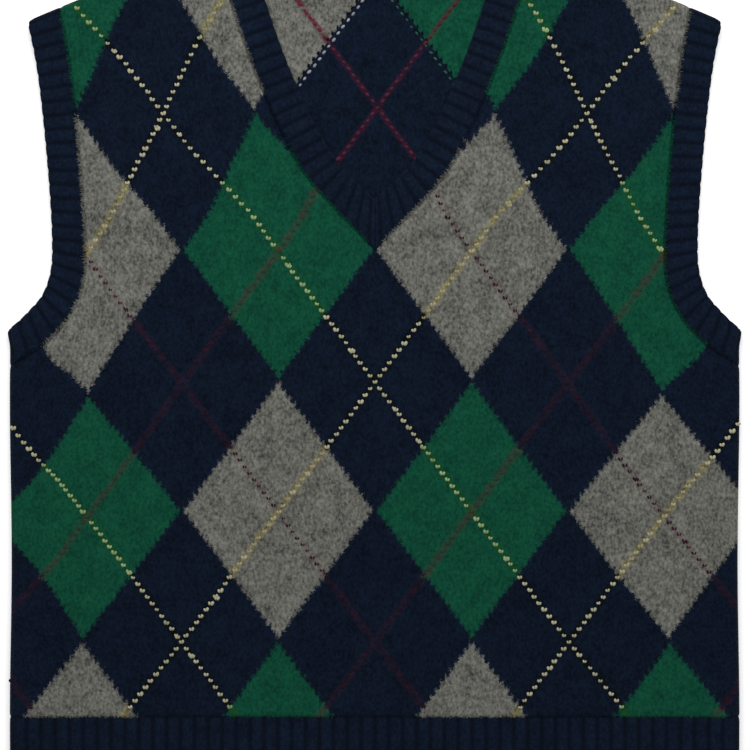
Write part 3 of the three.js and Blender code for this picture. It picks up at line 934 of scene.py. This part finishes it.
# ----------------------------------------------------------------------------------------------------------
# Neck band. Two front pieces mitred at the point of the V and one back piece, picked up round the neck and
# knitted out in rib, so the ribs stand square to the edge.


def band_steps(curve, start, end):
    length = np.linalg.norm(np.diff(sampled(curve), axis=0), axis=-1).sum()
    return steps(length, BAND_SPACING, start=start, end=end)


plain_end = np.array([0, 0.4]) * MM
up_v = band_steps(v_seam, plain_end, FOLD_STEPS)
for side, sign in [("left", 1), ("right", -1)]:
    seam, edge = v_seam(up_v) * (sign, 1), v_edge(up_v) * (sign, 1)
    seam[0, 0] = edge[0, 0] = sign * SEAM_GAP / 2
    ribbed_band(f"neck_band_front_{side}", seam, edge, front_layer, navy_rib)

from_middle = band_steps(back_neck_seam, plain_end, FOLD_STEPS)
both_ways = np.concatenate([-from_middle[:0:-1], from_middle])
mirror = np.stack([np.where(both_ways < 0, -1, 1), np.ones_like(both_ways)], axis=-1)
seam, edge = (curve(np.abs(both_ways)) * mirror for curve in (back_neck_seam, back_neck_edge))
ribbed_band("neck_band_back", seam, edge, back_layer, navy_rib)

# ----------------------------------------------------------------------------------------------------------
# Armhole bands. The same rib, picked up round each armhole once the shoulders are joined. It folds at the
# shoulder and at the underarm.

up_arm = band_steps(armhole_seam, FOLD_STEPS, FOLD_STEPS)
for side, sign in [("left", 1), ("right", -1)]:
    under_front = f"armhole_band_{side}_back"
    for place, layer, below in [("front", front_layer, under_front), ("back", back_layer, "floor")]:
        seam, edge = armhole_seam(up_arm) * (sign, 1), armhole_edge(up_arm) * (sign, 1)
        ribbed_band(f"armhole_band_{side}_{place}", seam, edge, layer, navy_rib)

# ----------------------------------------------------------------------------------------------------------
# Floor, light and camera. A pale floor under soft light from all round and a broad lamp beyond the
# shoulders. The camera looks straight down at a little more than the width of the vest.

floor_mesh = bpy.data.meshes.new("floor")
reach = 4.0
corners = [(reach * x, reach * y, -0.2 * MM) for x, y in [(-1, -1), (1, -1), (1, 1), (-1, 1)]]
floor_mesh.from_pydata(corners, [], [(0, 1, 2, 3)])
paper, tree = new_material("matt white paper")
shader = add(tree, "ShaderNodeBsdfPrincipled", {
    "Base Color": srgb("f8f8f8"), "Roughness": 0.9, "Emission Color": (1, 1, 1, 1), "Emission Strength": 0.25,
})
add(tree, "ShaderNodeOutputMaterial", {"Surface": shader})
floor_mesh.materials.append(paper)
floor = bpy.data.objects.new("floor", floor_mesh)
bpy.context.scene.collection.objects.link(floor)
floor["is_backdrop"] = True

world = bpy.data.worlds.new("white studio")
bpy.context.scene.world = world
world.use_nodes = True
world.node_tree.nodes["Background"].inputs["Strength"].default_value = 0.47
world.node_tree.nodes["Background"].inputs["Color"].default_value = (1, 1, 1, 1)

lamp_data = bpy.data.lights.new("softbox", "AREA")
lamp_data.shape = "RECTANGLE"
lamp_data.size, lamp_data.size_y = 1.6, 0.9
lamp_data.energy = 21
lamp = bpy.data.objects.new("softbox", lamp_data)
lamp.location = (0, 0.95, 1.25)
lamp.rotation_euler = (np.radians(-36), 0, 0)
lamp.visible_camera = False
bpy.context.scene.collection.objects.link(lamp)

VIEW_WIDTH = 525 * MM
camera_data = bpy.data.cameras.new("camera")
camera_data.lens, camera_data.sensor_width = 100, 36
camera = bpy.data.objects.new("camera", camera_data)
camera.location = (0, -1.5 * MM, 2 * CLOTH + VIEW_WIDTH * camera_data.lens / camera_data.sensor_width)
bpy.context.scene.collection.objects.link(camera)
bpy.context.scene.camera = camera
bpy.context.scene.view_settings.view_transform = "Standard"
